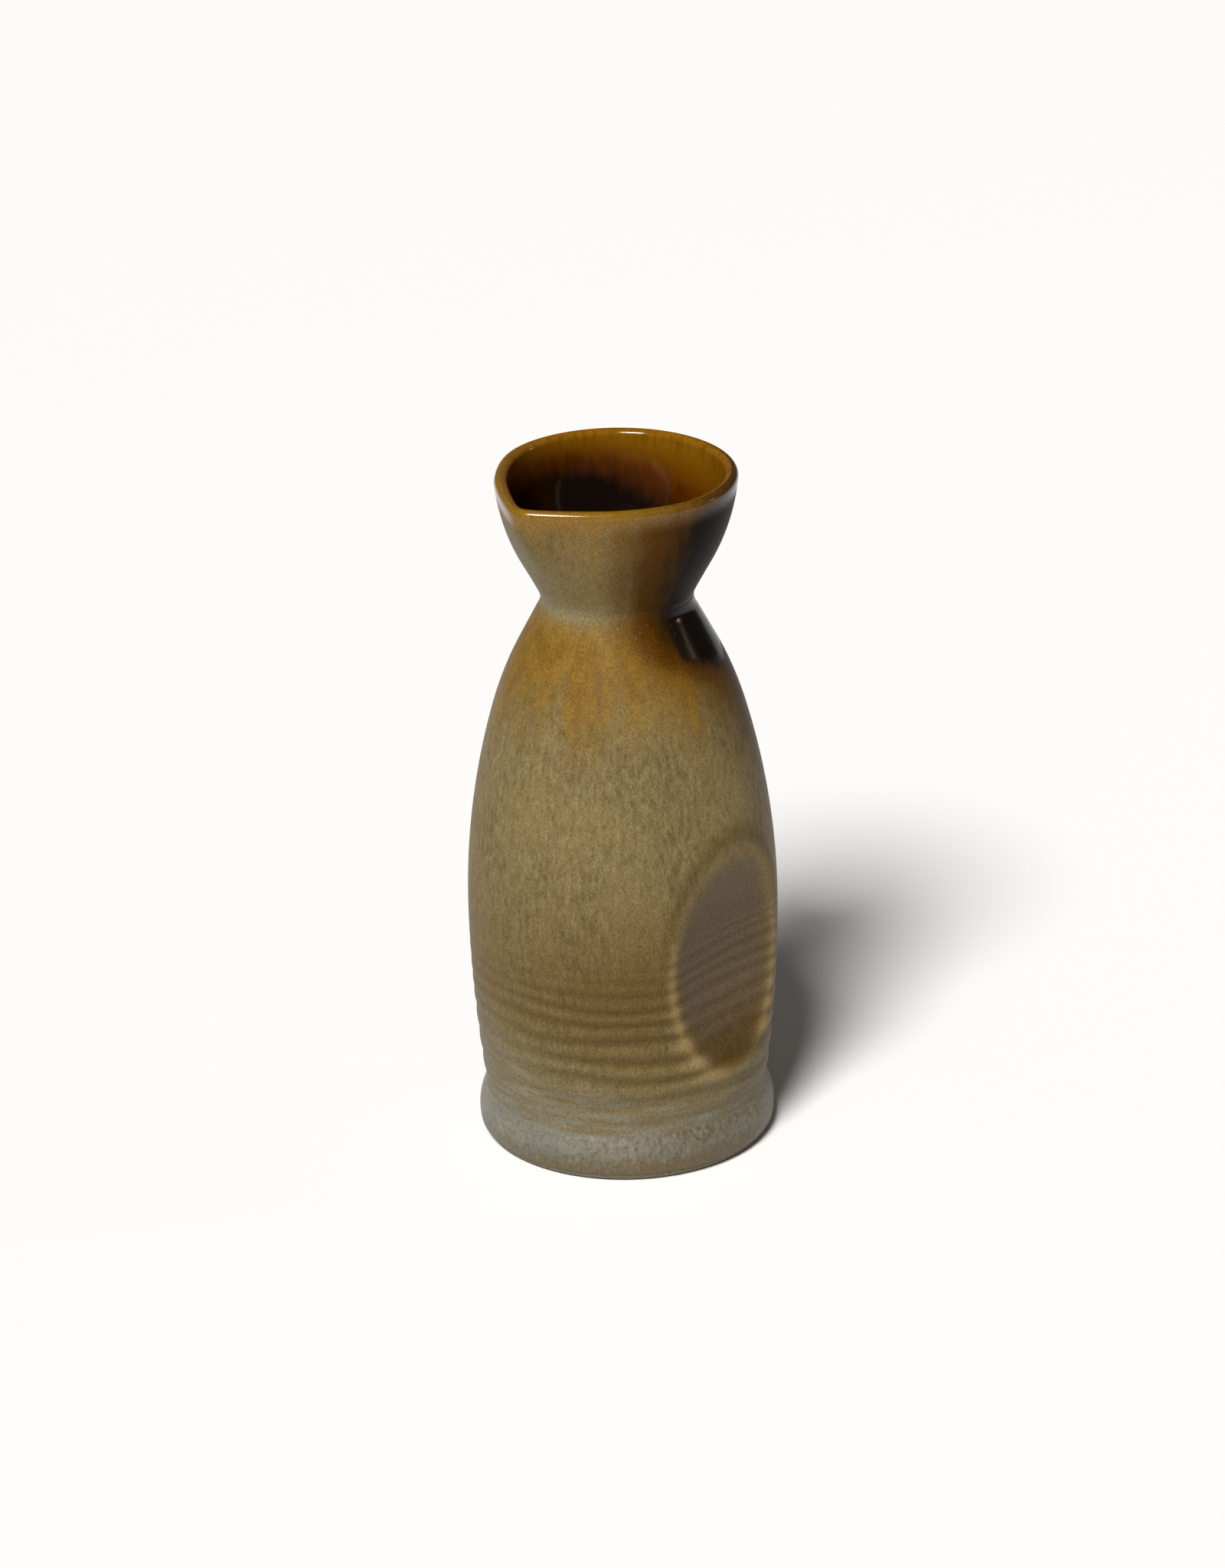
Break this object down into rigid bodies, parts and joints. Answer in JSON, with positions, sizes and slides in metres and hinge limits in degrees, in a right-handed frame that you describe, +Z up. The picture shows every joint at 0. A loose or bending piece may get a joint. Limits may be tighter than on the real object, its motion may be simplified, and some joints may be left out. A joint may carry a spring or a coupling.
{
  "type": "sake bottle",
  "caption": "Glazed stoneware sake bottle with a waisted neck, a flared cup pinched into a pouring spout, two grip hollows and throwing rings over a pale foot.",
  "frame": {"origin": "centre of the face that the bottle stands on", "axes": "+Z up along the bottle's axis, -Y the way the spout pours, grip hollows facing +X and -X"},
  "size_m": [0.0688, 0.0712, 0.161],
  "materials": {
    "stoneware": "matt, fine-grained fired clay",
    "amber_glaze": "semi-matt khaki to amber, glossy where it runs thick",
    "ash_glaze": "satin, pale blue-grey with ochre specks",
    "dark_amber_glaze": "glossy translucent amber"
  },
  "bodies": {
    "root": {"clay_body": "stoneware", "outer_glaze": "amber_glaze", "foot_glaze": "ash_glaze", "liner_glaze": "dark_amber_glaze", "base_glaze": "ash_glaze"}
  },
  "joints": []
}
